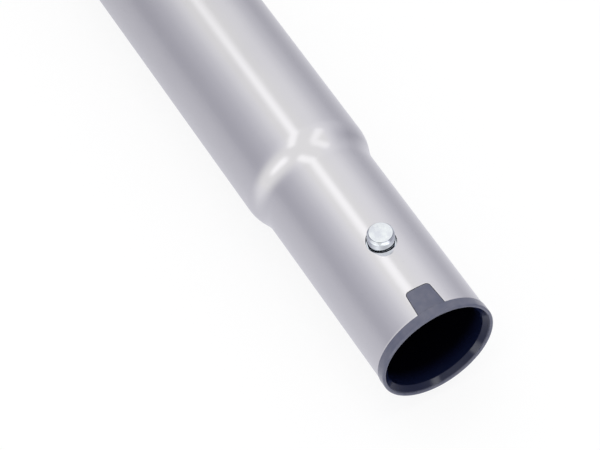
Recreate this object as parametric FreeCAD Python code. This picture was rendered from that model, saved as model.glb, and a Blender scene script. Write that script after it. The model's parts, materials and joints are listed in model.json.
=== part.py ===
import FreeCAD
import Part
import math
import os

# Telescopic vacuum wand, collapsed. Millimetres. The air runs along X, with +X out of the nozzle end.
# The origin is the centre of the end ring's front face. The snap button and the lock face +Z.

# Outer tube
spigot_diameter = 35.0
tube_diameter = 39.3
tube_wall = 0.9
spigot_length = 63.3
swage_length = 10.3
swage_bend_share = 0.5

# End ring, with its tab and its liner
ring_band = 3.1
ring_overhang = 0.25
ring_lip_wall = 1.08
ring_back_radius = 0.2
funnel_length = 2.0
liner_clearance = 0.05
liner_wall = 1.25
liner_margin = 1.9
tab_length = 7.7
tab_far_width = 7.15
tab_near_width = 8.5
tab_corner = 1.0
tab_inset = 0.06
tab_gap = 0.15

# Snap button and its leaf spring
button_place = 29.7
button_diameter = 7.8
button_hole_gap = 0.45
button_height = 3.5
button_bevel = 0.55
button_bevel_drop = 0.7
button_flange_margin = 0.9
button_flange_height = 1.0
button_flange_gap = 0.15
button_tail_diameter = 2.4
button_tail_length = 1.1
spring_width = 8.0
spring_thickness = 0.5
spring_root_length = 8.0
spring_root_overhang = 1.2
spring_reach = 24.0
spring_tip = 5.6
spring_tip_rise = 0.5
rivet_diameter = 2.4
rivet_head_diameter = 4.4
rivet_head_height = 0.7
pin_gap = 0.05
slot_margin = 0.3

# Inner tube, its groove and its notches
inner_wall = 0.8
groove_width = 12.0
groove_depth = 1.8
groove_end_margin = 4.0
notch_count = 19
notch_pitch = 20.0
roller_diameter = 6.0
roller_side_gap = 0.2
roller_gap = 0.1
roller_chamfer = 0.4
roller_lift_margin = 0.15

# Tail bush and tail seal on the inner tube's lower end
tail_gap = 10.4
tail_length = 18.0
tail_lip = 2.0
tail_clearance = 0.1
tail_stud_diameter = 4.0
tail_seal_width = 3.0
tail_seal_depth = 0.6
tail_seal_inset = 6.0
seat_gap = 0.05

# Guide bush between the tubes
bush_ahead = 25.0
bush_behind = 32.0
bush_wall = 1.23
bush_flange = 2.0
bush_stop_gap = 8.0
bush_run_gap = 0.07
bush_seat_gap = 0.05
key_gap = 0.12
key_roller_gap = 9.0

# Lock: saddle plate, slider, thumb pad and springs
saddle_thickness = 0.5
saddle_length = 24.0
saddle_width = 22.0
saddle_corner = 2.0
slider_gap = 0.15
slider_travel = 8.0
slider_length = 46.0
slider_ahead = 17.0
slider_width = 17.6
slider_thickness = 4.0
slider_side_gap = 0.3
pocket_side_gap = 0.2
thumb_length = 26.0
thumb_width = 14.0
thumb_height = 4.2
thumb_ahead = 7.0
thumb_corner = 4.0
pad_inset = 0.8
pad_height = 2.0
pad_ribs = 6
pad_rib_pitch = 3.4
pad_rib_width = 1.5
pad_rib_height = 0.9
pad_rib_inset = 1.5
slot_gap = 0.5
spring_room = 13.0
coil_outside = 3.7
coil_wire = 0.6
coil_wire_sides = 6
coil_turns = 6
coil_spacing = 9.6
coil_end_gap = 0.1
peg_diameter = 2.2
peg_length = 2.0
peg_root = 0.6

# Lock housing, in two shells, and its screws
housing_ahead = 40.0
housing_behind = 50.0
housing_depth = 5.35
housing_shoulder = 7.0
housing_nose_depth = 1.6
housing_mouth_wall = 1.8
housing_flat_wall = 1.9
housing_wall = 2.3
housing_seat_gap = 0.1
deck_roof = 2.55
deck_top_margin = 1.7
deck_foot_margin = 6.7
deck_corner = 3.0
deck_end_inset = 4.0
deck_slope = 9.0
rib_thickness = 2.5
lug_diameter = 6.0
lug_pad_diameter = 10.0
lug_ahead = 14.0
screw_offset = 2.35
screw_front_inset = 9.0
screw_back_inset = 20.0
screw_diameter = 2.8
screw_head_diameter = 5.2
screw_head_height = 2.2
screw_grip = 8.0
screw_bite = 7.0
screw_cross = 0.9
screw_cross_length = 3.1
boss_diameter = 6.8

# Wiper seal and mouth collar
wiper_width = 4.0
wiper_depth = 2.4
collar_width = 14.0
collar_depth = 3.2
collar_bead = 1.6
collar_wall_gap = 0.1
mouth_gap = 0.25

# Hose cuff, its seal and its pins
cuff_gap = 7.0
cuff_grip = 21.0
cuff_rib = 2.0
cuff_rib_depth = 1.2
socket_gap = 0.1
socket_length = 45.5
cuff_wall = 3.4
cuff_grip_wall = 3.6
cuff_bead = 1.5
cuff_bead_width = 9.0
cuff_nose = 8.0
cuff_edge_bevel = 1.5
cuff_flutes = 10
cuff_flute_radius = 2.2
cuff_flute_depth = 0.8
cuff_flute_length = 26.0
seal_thickness = 1.5
seal_seat_depth = 0.6
pin_diameter = 4.0
pin_place = 10.0
latch_hole_gap = 0.6

# Extra length by which a cutter passes the face that it opens, and what counts as the same place
beyond = 2.0
same_place = 0.001

# Places along the wand, worked out from the sizes above
spigot_radius = spigot_diameter / 2
tube_radius = tube_diameter / 2
spigot_bore = spigot_radius - tube_wall
tube_bore = tube_radius - tube_wall
swage_front = -spigot_length
swage_back = swage_front - swage_length
liner_length = button_place + spring_reach + spring_root_length / 2 + liner_margin
travel = notch_pitch * (notch_count - 1)
tail_front = swage_back - tail_gap
tail_back = tail_front - tail_length
bush_front = tail_back - travel - bush_stop_gap
roller_x = bush_front - bush_ahead
tube_back = roller_x - bush_behind
housing_front = roller_x + housing_ahead
housing_back = roller_x - housing_behind
bush_outside = tube_bore - bush_seat_gap
inner_radius = bush_outside - bush_wall - bush_run_gap
inner_bore = inner_radius - inner_wall
groove_floor = inner_radius - groove_depth
slider_floor = tube_radius + bush_seat_gap + saddle_thickness + slider_gap
trough_radius = roller_diameter / 2 + roller_gap
roller_z = slider_floor - trough_radius
roller_length = groove_width - 2 * roller_side_gap
roller_lift = groove_floor + roller_lift_margin - (roller_z - trough_radius)
collar_seat = inner_radius + collar_depth + collar_wall_gap
housing_radius = tube_radius + housing_depth
housing_flat = collar_seat + housing_flat_wall
cuff_front = housing_back - cuff_gap
inner_front = tail_front - tail_lip
inner_back = cuff_front - cuff_grip
socket_floor = inner_back - cuff_rib
cuff_back = socket_floor - seal_thickness - socket_length
socket_radius = spigot_radius + socket_gap
cuff_rib_bore = socket_radius - cuff_rib_depth
cuff_radius = socket_radius + cuff_wall
cuff_grip_radius = inner_radius + cuff_grip_wall
slider_top = slider_floor + slider_thickness
slider_front = roller_x + slider_ahead
slider_back = slider_front - slider_length
channel_front = slider_front + spring_room
channel_back = slider_back - slot_gap
channel_roof = slider_top + slider_side_gap
thumb_front = roller_x + thumb_ahead
thumb_back = thumb_front - thumb_length
deck_height = channel_roof + deck_roof
strip_top = math.sqrt((spigot_bore - liner_clearance - liner_wall) ** 2 - (spring_width / 2) ** 2) - pin_gap


def vec(x, y, z):
    return FreeCAD.Vector(x, y, z)


def rod_x(x_low, x_high, radius):
    return Part.makeCylinder(radius, x_high - x_low, vec(x_low, 0, 0), vec(1, 0, 0))


def rod_y(x, z, y_low, y_high, radius):
    return Part.makeCylinder(radius, y_high - y_low, vec(x, y_low, z), vec(0, 1, 0))


def rod_z(x, y, z_low, z_high, radius):
    return Part.makeCylinder(radius, z_high - z_low, vec(x, y, z_low), vec(0, 0, 1))


def block(x_low, x_high, width, z_low, z_high):
    """A box that is centred on the XZ plane."""
    return Part.makeBox(x_high - x_low, width, z_high - z_low, vec(x_low, -width / 2, z_low))


def sleeve(x_low, x_high, radius, bore):
    return rod_x(x_low, x_high, radius).cut(rod_x(x_low - beyond, x_high + beyond, bore))


def prism_z(points, z_low, z_high):
    """A flat outline of (x, y) points, carried up along Z."""
    corners = [vec(x, y, z_low) for x, y in points]
    face = Part.Face(Part.makePolygon(corners + corners[:1]))
    return face.extrude(vec(0, 0, z_high - z_low))


def prism_y(points, width):
    """An outline of (x, z) points, carried along Y and centred on the XZ plane."""
    corners = [vec(x, -width / 2, z) for x, z in points]
    face = Part.Face(Part.makePolygon(corners + corners[:1]))
    return face.extrude(vec(0, width, 0))


def turned(edges):
    """A closed outline in the XZ plane, turned about the wand's axis."""
    face = Part.Face(Part.Wire(Part.__sortEdges__(edges)))
    return face.revolve(vec(0, 0, 0), vec(1, 0, 0), 360)


def line(a, b):
    return Part.LineSegment(vec(a[0], 0, a[1]), vec(b[0], 0, b[1])).toShape()


def lines(points):
    return [line(a, b) for a, b in zip(points, points[1:])]


def quarter(centre, radius, start_angle):
    """A quarter circle in the XZ plane, from start_angle in degrees and a quarter turn on."""
    angles = [math.radians(start_angle + step) for step in (0, 45, 90)]
    spots = [vec(centre[0] + radius * math.cos(a), 0, centre[1] + radius * math.sin(a)) for a in angles]
    return Part.Arc(*spots).toShape()


def upright_edges(shape, test):
    """The straight edges along Z whose place (x, y) passes the test."""
    found = []
    for edge in shape.Edges:
        ends = [v.Point for v in edge.Vertexes]
        if len(ends) == 2 and math.hypot(ends[0].x - ends[1].x, ends[0].y - ends[1].y) < same_place:
            if test(ends[0].x, ends[0].y):
                found.append(edge)
    return found


def swage_line(inset):
    """The tube's wall line, inset from its outside: straight, two tangent arcs, straight."""
    drop = tube_radius - spigot_radius
    bend_sum = (swage_length ** 2 + drop ** 2) / (2 * drop)
    turn = 2 * math.atan(drop / swage_length)
    outer_bend = bend_sum * swage_bend_share
    inner_bend = bend_sum - outer_bend

    outer_centre = tube_radius - outer_bend
    inner_centre = spigot_radius + inner_bend

    def outer_arc(angle):
        reach = outer_bend - inset
        return vec(swage_back + reach * math.sin(angle), 0, outer_centre + reach * math.cos(angle))

    def inner_arc(angle):
        reach = inner_bend + inset
        return vec(swage_front - reach * math.sin(angle), 0, inner_centre - reach * math.cos(angle))

    return [
        line((tube_back, tube_radius - inset), (swage_back, tube_radius - inset)),
        Part.Arc(outer_arc(0), outer_arc(turn / 2), outer_arc(turn)).toShape(),
        Part.Arc(inner_arc(turn), inner_arc(turn / 2), inner_arc(0)).toShape(),
        line((swage_front, spigot_radius - inset), (-ring_band, spigot_radius - inset)),
    ]


def tab_plan(margin, z_low, z_high):
    """The tab's outline seen from above, grown by a margin, with its two far corners rounded."""
    x_far = -ring_band - tab_length - margin
    far = tab_far_width / 2 + margin
    near = tab_near_width / 2 + margin
    x_near = -ring_band / 2
    shape = prism_z([(x_near, -near), (x_near, near), (x_far, far), (x_far, -far)], z_low, z_high)
    corners = upright_edges(shape, lambda x, y: abs(x - x_far) < same_place)
    return shape.makeFillet(tab_corner + margin, corners)


def groove_cutter(clearance):
    """What the inner tube's lengthwise groove leaves out; a clearance shrinks it to the running key."""
    half = groove_width / 2 - clearance
    x_low = cuff_front + groove_end_margin
    x_high = tail_back - groove_end_margin
    return block(x_low, x_high, 2 * half, groove_floor + clearance, inner_radius + beyond)


def notch_cutters(growth):
    """One cross trough for each place where the wand can be locked."""
    troughs = []
    half = groove_width / 2 + growth
    for step in range(notch_count):
        x = roller_x + step * notch_pitch
        troughs.append(rod_y(x, roller_z, -half, half, trough_radius + growth))
    return troughs


def outer_tube():
    wall = swage_line(0) + swage_line(tube_wall)
    wall.append(line((tube_back, tube_radius), (tube_back, tube_bore)))
    wall.append(line((-ring_band, spigot_radius), (-ring_band, spigot_bore)))
    tube = turned(wall)
    button_hole = rod_z(-button_place, 0, 0, tube_radius, button_diameter / 2 + button_hole_gap)
    window = block(roller_x - trough_radius, roller_x + trough_radius, roller_length + 2 * roller_gap,
                   0, tube_radius + beyond)
    lug_hole = rod_z(roller_x + lug_ahead, 0, -tube_radius - beyond, 0, lug_diameter / 2 + seat_gap)
    return tube.cut([tab_plan(tab_gap, 0, tube_radius), button_hole, window, lug_hole])


def end_ring():
    ring_radius = spigot_radius + ring_overhang
    liner_radius = spigot_bore - liner_clearance
    bore = liner_radius - liner_wall
    back = ring_back_radius
    nose = ring_lip_wall / 2
    nose_radius = ring_radius - nose
    outline = lines([
        (-nose, nose_radius - nose), (-funnel_length, bore), (-liner_length, bore),
        (-liner_length, liner_radius), (-ring_band, liner_radius), (-ring_band, ring_radius - back),
    ])
    outline.append(quarter((-ring_band + back, ring_radius - back), back, 90))
    outline.append(line((-ring_band + back, ring_radius), (-nose, ring_radius)))
    outline.append(quarter((-nose, nose_radius), nose, 0))
    outline.append(quarter((-nose, nose_radius), nose, 270))
    ring = turned(outline)
    tab_zone = sleeve(-liner_length, 0, spigot_radius - tab_inset, bore + liner_wall / 2)
    tab = tab_plan(0, 0, tube_radius).common(tab_zone)
    pad_back = -button_place - spring_reach
    pad = block(pad_back - spring_root_length / 2, pad_back + spring_root_length / 2, spring_width,
                strip_top, bore).common(rod_x(-liner_length, 0, liner_radius))
    flange = button_diameter / 2 + button_flange_margin
    slot_back = pad_back + spring_root_length / 2 + slot_margin
    slot = block(slot_back, -button_place + flange + slot_margin, 2 * (flange + slot_margin), 0, tube_radius)
    rivet_hole = rod_z(pad_back, 0, 0, tube_radius, rivet_diameter / 2 + pin_gap)
    return ring.fuse([tab, pad]).cut([slot, rivet_hole])


def snap_button():
    radius = button_diameter / 2
    top = spigot_radius + button_height
    x = -button_place
    shoulder = top - button_bevel_drop
    stem = rod_z(x, 0, strip_top, shoulder, radius)
    crown = Part.makeCone(radius, radius - button_bevel, button_bevel_drop, vec(x, 0, shoulder))
    flange = rod_z(x, 0, strip_top, strip_top + button_flange_height, radius + button_flange_margin)
    inside = rod_x(-liner_length, 0, spigot_bore - button_flange_gap)
    tail = rod_z(x, 0, strip_top - button_tail_length, strip_top, button_tail_diameter / 2)
    return stem.fuse([crown, flange.common(inside), tail])


def button_spring():
    low = strip_top - spring_thickness
    root = -button_place - spring_reach
    back = root - spring_root_length / 2 - spring_root_overhang
    bend = -button_place + button_diameter / 2 + button_flange_margin
    tip = bend + spring_tip
    strip = prism_y([
        (back, low), (bend, low), (tip, low - spring_tip_rise), (tip, strip_top - spring_tip_rise),
        (bend, strip_top), (back, strip_top),
    ], spring_width)
    holes = [
        rod_z(root, 0, 0, tube_radius, rivet_diameter / 2 + pin_gap),
        rod_z(-button_place, 0, 0, tube_radius, button_tail_diameter / 2 + pin_gap),
    ]
    return strip.cut(holes)


def spring_rivet():
    x = -button_place - spring_reach
    low = strip_top - spring_thickness
    head = Part.makeCone(rivet_diameter / 2, rivet_head_diameter / 2, rivet_head_height,
                         vec(x, 0, low - rivet_head_height))
    shank = rod_z(x, 0, low, spigot_bore - liner_clearance - pin_gap, rivet_diameter / 2)
    return head.fuse(shank)


def inner_tube():
    outside = rod_x(inner_back, inner_front, inner_radius).cut([groove_cutter(0)] + notch_cutters(0))
    bore = rod_x(inner_back - beyond, inner_front + beyond, inner_bore)
    x_low = cuff_front + groove_end_margin - inner_wall
    x_high = tail_back - groove_end_margin + inner_wall
    under_groove = block(x_low, x_high, groove_width + 2 * inner_wall,
                         groove_floor - inner_wall, inner_radius)
    bore = bore.cut([under_groove] + notch_cutters(inner_wall))
    pin_holes = rod_y(inner_back + pin_place, 0, -inner_radius - beyond, inner_radius + beyond,
                      pin_diameter / 2 + seat_gap)
    stud_holes = rod_y((tail_front + tail_back) / 2, 0, -inner_radius - beyond, inner_radius + beyond,
                       tail_stud_diameter / 2 + seat_gap)
    return outside.cut(bore).cut([pin_holes, stud_holes])


def tail_bush():
    radius = tube_bore - tail_clearance
    body = sleeve(tail_back, tail_front, radius, inner_bore)
    tube_room = rod_x(tail_back - beyond, tail_front - tail_lip, inner_radius + seat_gap)
    seal_back = tail_front - tail_seal_inset - tail_seal_width
    seal_groove = sleeve(seal_back, seal_back + tail_seal_width, radius + beyond, radius - tail_seal_depth)
    x = (tail_front + tail_back) / 2
    studs = rod_y(x, 0, -radius, radius, tail_stud_diameter / 2)
    studs = studs.common(sleeve(tail_back, tail_front, inner_radius + inner_wall / 2, inner_bore + seat_gap))
    return body.cut([tube_room, seal_groove]).fuse(studs)


def tail_seal():
    radius = tube_bore - tail_clearance / 2
    seal_back = tail_front - tail_seal_inset - tail_seal_width
    return sleeve(seal_back + seat_gap, seal_back + tail_seal_width - seat_gap, radius,
                  tube_bore - tail_clearance - tail_seal_depth + seat_gap)


def running_bore(x_low, x_high, clearance):
    """The inner tube's outer form grown by a clearance, so that a key is left for its groove."""
    hole = rod_x(x_low, x_high, inner_radius + clearance)
    return hole.cut(groove_cutter(key_gap))


def guide_bush():
    flange_back = tube_back - bush_flange
    body = rod_x(flange_back, bush_front, bush_outside)
    flange = rod_x(flange_back, tube_back, tube_radius)
    body = body.fuse(flange).cut(running_bore(flange_back - beyond, bush_front + beyond, bush_run_gap))
    no_key = rod_x(roller_x - key_roller_gap, roller_x + key_roller_gap, inner_radius + bush_run_gap)
    window = block(roller_x - trough_radius, roller_x + trough_radius, roller_length + 2 * roller_gap,
                   0, tube_radius)
    return body.cut([no_key, window])


def lock_roller():
    roller = rod_y(roller_x, roller_z, -roller_length / 2, roller_length / 2, roller_diameter / 2)
    return roller.makeChamfer(roller_chamfer, roller.Edges)


def saddle_plate():
    bore = tube_radius + bush_seat_gap
    x_low = roller_x - saddle_length / 2
    x_high = roller_x + saddle_length / 2
    plan = block(x_low, x_high, saddle_width, 0, tube_radius + beyond)
    plan = plan.makeFillet(saddle_corner, upright_edges(plan, lambda x, y: True))
    window = block(roller_x - trough_radius, roller_x + trough_radius, roller_length + 2 * roller_gap,
                   0, tube_radius + beyond)
    return sleeve(x_low, x_high, bore + saddle_thickness, bore).common(plan).cut(window)


def spring_places():
    return (-coil_spacing / 2, coil_spacing / 2)


def spring_height():
    return slider_floor + slider_thickness / 2


def release_slider():
    base = block(slider_back, slider_front, slider_width, slider_floor, slider_top)
    thumb = block(thumb_back, thumb_front, thumb_width, slider_top, slider_top + thumb_height)
    thumb = thumb.makeFillet(thumb_corner, upright_edges(thumb, lambda x, y: True))
    slope = roller_lift / slider_travel
    ceiling = roller_z + trough_radius * math.sqrt(1 + slope ** 2)
    pocket_front = roller_x + (ceiling - slider_floor) / slope
    pocket_back = roller_x - slider_travel - roller_diameter / 2 - roller_gap - slot_gap
    pocket_top = ceiling + slope * (roller_x - pocket_back)
    ramp = prism_y([
        (pocket_front, slider_floor), (pocket_back, pocket_top), (pocket_back, slider_floor),
    ], roller_length + 2 * pocket_side_gap)
    pegs = [peg_x(slider_front, slider_front + peg_length, y) for y in spring_places()]
    return base.cut(ramp).fuse([thumb] + pegs)


def peg_x(x_low, x_high, y):
    return Part.makeCylinder(peg_diameter / 2, x_high - x_low, vec(x_low, y, spring_height()), vec(1, 0, 0))


def thumb_pad():
    floor = slider_top + thumb_height
    width = thumb_width - 2 * pad_inset
    pad = block(thumb_back + pad_inset, thumb_front - pad_inset, width, floor, floor + pad_height)
    pad = pad.makeFillet(thumb_corner - pad_inset, upright_edges(pad, lambda x, y: True))
    middle = (thumb_back + thumb_front) / 2
    ribs = []
    for step in range(pad_ribs):
        x = middle + (step - (pad_ribs - 1) / 2) * pad_rib_pitch
        ribs.append(block(x - pad_rib_width / 2, x + pad_rib_width / 2, width - 2 * pad_rib_inset,
                          floor + pad_height, floor + pad_height + pad_rib_height))
    return pad.fuse(ribs)


def slider_springs():
    length = spring_room - 2 * coil_end_gap - coil_wire
    mean = (coil_outside - coil_wire) / 2
    coils = []
    for y in spring_places():
        path = Part.makeHelix(length / coil_turns, length, mean)
        angles = [2 * math.pi * step / coil_wire_sides for step in range(coil_wire_sides + 1)]
        section = Part.makePolygon([vec(mean + coil_wire / 2 * math.cos(a), 0, coil_wire / 2 * math.sin(a))
                                    for a in angles])
        coil = Part.Wire(path).makePipeShell([section], True, True)
        coil.rotate(vec(0, 0, 0), vec(0, 1, 0), 90)
        coil.translate(vec(slider_front + coil_end_gap + coil_wire / 2, y, spring_height()))
        coils.append(coil)
    return Part.makeCompound(coils)


def housing_form():
    """The closed outer form of the lock housing: a barrel with a flat below and a deck above."""
    nose = tube_radius + housing_nose_depth
    mouth = collar_seat + housing_mouth_wall
    barrel = turned(lines([
        (housing_back, 0), (housing_back, mouth), (housing_back + housing_shoulder, housing_radius),
        (housing_front - housing_shoulder, housing_radius), (housing_front, nose), (housing_front, 0),
        (housing_back, 0),
    ]))
    deck_front = housing_front - deck_end_inset
    deck_back = housing_back + deck_end_inset
    side = prism_y([
        (deck_back, 0), (deck_back, nose - deck_end_inset), (deck_back + deck_slope, deck_height),
        (deck_front - deck_slope, deck_height), (deck_front, nose - deck_end_inset), (deck_front, 0),
    ], 2 * housing_radius)
    top = slider_width / 2 + deck_top_margin
    foot = slider_width / 2 + deck_foot_margin
    half_section = [(foot, 0), (foot, nose / 2), (top, deck_height)]
    corners = [vec(deck_back, y, z) for y, z in half_section]
    corners += [vec(deck_back, -y, z) for y, z in reversed(half_section)]
    section = Part.Face(Part.makePolygon(corners + corners[:1])).extrude(vec(deck_front - deck_back, 0, 0))
    deck = side.common(section)
    rims = [e for e in deck.Edges if e.BoundBox.ZMin > nose]
    deck = deck.makeFillet(deck_corner, rims)
    under = block(housing_back - beyond, housing_front + beyond, 2 * housing_radius + beyond,
                  -housing_radius - beyond, -housing_flat)
    return barrel.fuse(deck).removeSplitter().cut(under)


def screw_places():
    half = tube_radius + screw_offset
    ends = (housing_front - screw_front_inset, housing_back + screw_back_inset)
    return [(x, y) for x in ends for y in (-half, half)]


def housing_room():
    """What both shells leave open: the tube's seat, the spaces between ribs, and the mouth's bore."""
    seat = tube_radius + housing_seat_gap
    inside = housing_radius - housing_wall
    flange_back = tube_back - bush_flange
    seal_seat = inner_radius + wiper_depth + collar_wall_gap
    wiper_back = flange_back - wiper_width
    bores = [
        rod_x(flange_back, housing_front + beyond, seat),
        rod_x(wiper_back, flange_back, seal_seat),
        rod_x(housing_back - beyond, wiper_back, collar_seat),
    ]
    ribs = [channel_front + rib_thickness / 2, roller_x, channel_back - rib_thickness / 2]
    above_flat = block(housing_back, housing_front, 2 * housing_radius,
                       housing_wall - housing_flat, deck_height)
    for front, back in zip(ribs, ribs[1:]):
        between = rod_x(back + rib_thickness / 2, front - rib_thickness / 2, inside)
        bores.append(between.common(above_flat))
    return bores


def housing_upper():
    room = housing_room()
    bosses = [rod_z(x, y, 0, screw_bite + housing_wall, boss_diameter / 2) for x, y in screw_places()]
    above = block(housing_back - beyond, housing_front + beyond, 2 * housing_radius + beyond,
                  0, deck_height + beyond)
    form = housing_form().common(above)
    shell = form.cut(room)
    shell = shell.fuse([b.common(form).cut(room[0]) for b in bosses])
    channel = block(channel_back, channel_front, slider_width + 2 * slider_side_gap, 0, channel_roof)
    slot_front = thumb_front + slider_travel + slot_gap
    slot = block(thumb_back - slot_gap, slot_front, thumb_width + 2 * slot_gap, 0, deck_height + beyond)
    slot = slot.makeFillet(thumb_corner + slot_gap, upright_edges(slot, lambda x, y: True))
    saddle_reach = saddle_length / 2 + housing_seat_gap
    saddle_room = rod_x(roller_x - saddle_reach, roller_x + saddle_reach,
                        tube_radius + bush_seat_gap + saddle_thickness + housing_seat_gap)
    saddle_room = saddle_room.common(block(housing_back, housing_front, saddle_width + 2 * housing_seat_gap,
                                           0, deck_height))
    pilots = [rod_z(x, y, -beyond, screw_bite + seat_gap, screw_diameter / 2 + seat_gap)
              for x, y in screw_places()]
    shell = shell.cut([channel, slot, saddle_room] + pilots)
    pegs = [peg_x(channel_front - peg_length, channel_front + peg_root, y) for y in spring_places()]
    return shell.fuse(pegs)


def housing_lower():
    room = housing_room()
    foot = -screw_grip - screw_head_height
    bosses = [rod_z(x, y, foot - housing_wall, 0, boss_diameter / 2) for x, y in screw_places()]
    below = block(housing_back - beyond, housing_front + beyond, 2 * housing_radius + beyond,
                  -housing_radius, 0)
    form = housing_form().common(below)
    shell = form.cut(room)
    shell = shell.fuse([b.common(form).cut(room[0]) for b in bosses])
    x = roller_x + lug_ahead
    pad = rod_z(x, 0, -housing_flat, -spigot_radius, lug_pad_diameter / 2).cut(room[0])
    lug = rod_z(x, 0, -housing_flat, -tube_bore - seat_gap, lug_diameter / 2)
    holes = [rod_z(x, y, -housing_radius, beyond, screw_diameter / 2 + seat_gap) for x, y in screw_places()]
    heads = [rod_z(x, y, -housing_radius, -screw_grip, screw_head_diameter / 2 + seat_gap)
             for x, y in screw_places()]
    return shell.fuse([pad, lug]).cut(holes + heads)


def housing_screws():
    screws = []
    for x, y in screw_places():
        shank = rod_z(x, y, -screw_grip, screw_bite, screw_diameter / 2)
        head = rod_z(x, y, -screw_grip - screw_head_height, -screw_grip, screw_head_diameter / 2)
        low = -screw_grip - screw_head_height
        slots = []
        for turn in (0, 90):
            arm = Part.makeBox(screw_cross_length, screw_cross, screw_head_height / 2 + beyond,
                               vec(x - screw_cross_length / 2, y - screw_cross / 2, low - beyond))
            arm.rotate(vec(x, y, 0), vec(0, 0, 1), turn)
            slots.append(arm)
        screws.append(head.fuse(shank).cut(slots))
    return Part.makeCompound(screws)


def wiper_seal():
    front = tube_back - bush_flange - seat_gap
    back = front - wiper_width + 2 * seat_gap
    ring = rod_x(back, front, inner_radius + wiper_depth)
    return ring.cut(running_bore(back - beyond, front + beyond, bush_run_gap))


def mouth_collar():
    front = tube_back - bush_flange - wiper_width
    back = front - collar_width
    outer = inner_radius + collar_depth
    bead = outer + collar_bead
    body = rod_x(back, front, outer)
    rim = Part.makeCone(outer, bead, housing_back - back, vec(back, 0, 0), vec(1, 0, 0))
    return body.fuse(rim).cut(running_bore(back - beyond, front + beyond, mouth_gap))


def hose_cuff():
    radius = cuff_radius
    bead = cuff_radius + cuff_bead
    edge = cuff_edge_bevel
    bead_front = cuff_back + cuff_bead_width
    nose_radius = (inner_radius + cuff_grip_radius) / 2
    body = turned(lines([
        (cuff_back, 0), (cuff_back, bead - edge), (cuff_back + edge, bead), (bead_front - edge, bead),
        (bead_front + edge, radius), (socket_floor, radius), (inner_back, cuff_grip_radius),
        (cuff_front - cuff_nose, cuff_grip_radius), (cuff_front, nose_radius),
        (cuff_front, 0), (cuff_back, 0),
    ]))
    seal_seat = socket_radius + seal_seat_depth
    seal_back = socket_floor - seal_thickness
    rooms = [
        rod_x(inner_back, cuff_front + beyond, inner_radius + seat_gap),
        rod_x(cuff_back - beyond, cuff_front, cuff_rib_bore),
        rod_x(seal_back, socket_floor, seal_seat),
        rod_x(cuff_back - beyond, seal_back, socket_radius),
        rod_y(inner_back + pin_place, 0, -cuff_grip_radius - beyond, cuff_grip_radius + beyond,
              pin_diameter / 2 + seat_gap),
        rod_z(seal_back - button_place, 0, 0, radius + beyond, (button_diameter + latch_hole_gap) / 2),
    ]
    flute_front = cuff_front - cuff_nose - edge
    flute = Part.makeCylinder(cuff_flute_radius, cuff_flute_length - 2 * cuff_flute_radius,
                              vec(flute_front - cuff_flute_length + cuff_flute_radius, 0,
                                  radius + cuff_flute_radius - cuff_flute_depth), vec(1, 0, 0))
    spread = 360 / cuff_flutes
    for step in range(cuff_flutes):
        turn = spread * (step + 0.5)
        if min(abs(turn - 90), abs(turn - 270)) > spread / 2:
            cutter = flute.copy()
            cutter.rotate(vec(0, 0, 0), vec(1, 0, 0), turn)
            rooms.append(cutter)
    return body.cut(rooms)


def cuff_seal():
    return sleeve(socket_floor - seal_thickness + seat_gap, socket_floor - seat_gap,
                  socket_radius + seal_seat_depth - seat_gap, cuff_rib_bore + seat_gap)


def cuff_pins():
    x = inner_back + pin_place
    tip = inner_bore + inner_wall / 2
    pins = []
    for side in (-1, 1):
        low, high = sorted((side * tip, side * (cuff_grip_radius - seat_gap)))
        pins.append(rod_y(x, 0, low, high, pin_diameter / 2))
    return Part.makeCompound(pins)


pieces = {
    "outer_tube": outer_tube,
    "end_ring": end_ring,
    "snap_button": snap_button,
    "button_spring": button_spring,
    "spring_rivet": spring_rivet,
    "guide_bush": guide_bush,
    "wiper_seal": wiper_seal,
    "mouth_collar": mouth_collar,
    "saddle_plate": saddle_plate,
    "lock_roller": lock_roller,
    "release_slider": release_slider,
    "thumb_pad": thumb_pad,
    "slider_springs": slider_springs,
    "housing_upper": housing_upper,
    "housing_lower": housing_lower,
    "housing_screws": housing_screws,
    "inner_tube": inner_tube,
    "tail_bush": tail_bush,
    "tail_seal": tail_seal,
    "hose_cuff": hose_cuff,
    "cuff_seal": cuff_seal,
    "cuff_pins": cuff_pins,
}

os.makedirs("parts", exist_ok=True)
for name, make in pieces.items():
    make().exportStep("parts/" + name + ".step")
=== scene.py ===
import json
import math

import bmesh
import bpy
import numpy as np
from mathutils import Matrix, Vector


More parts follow.
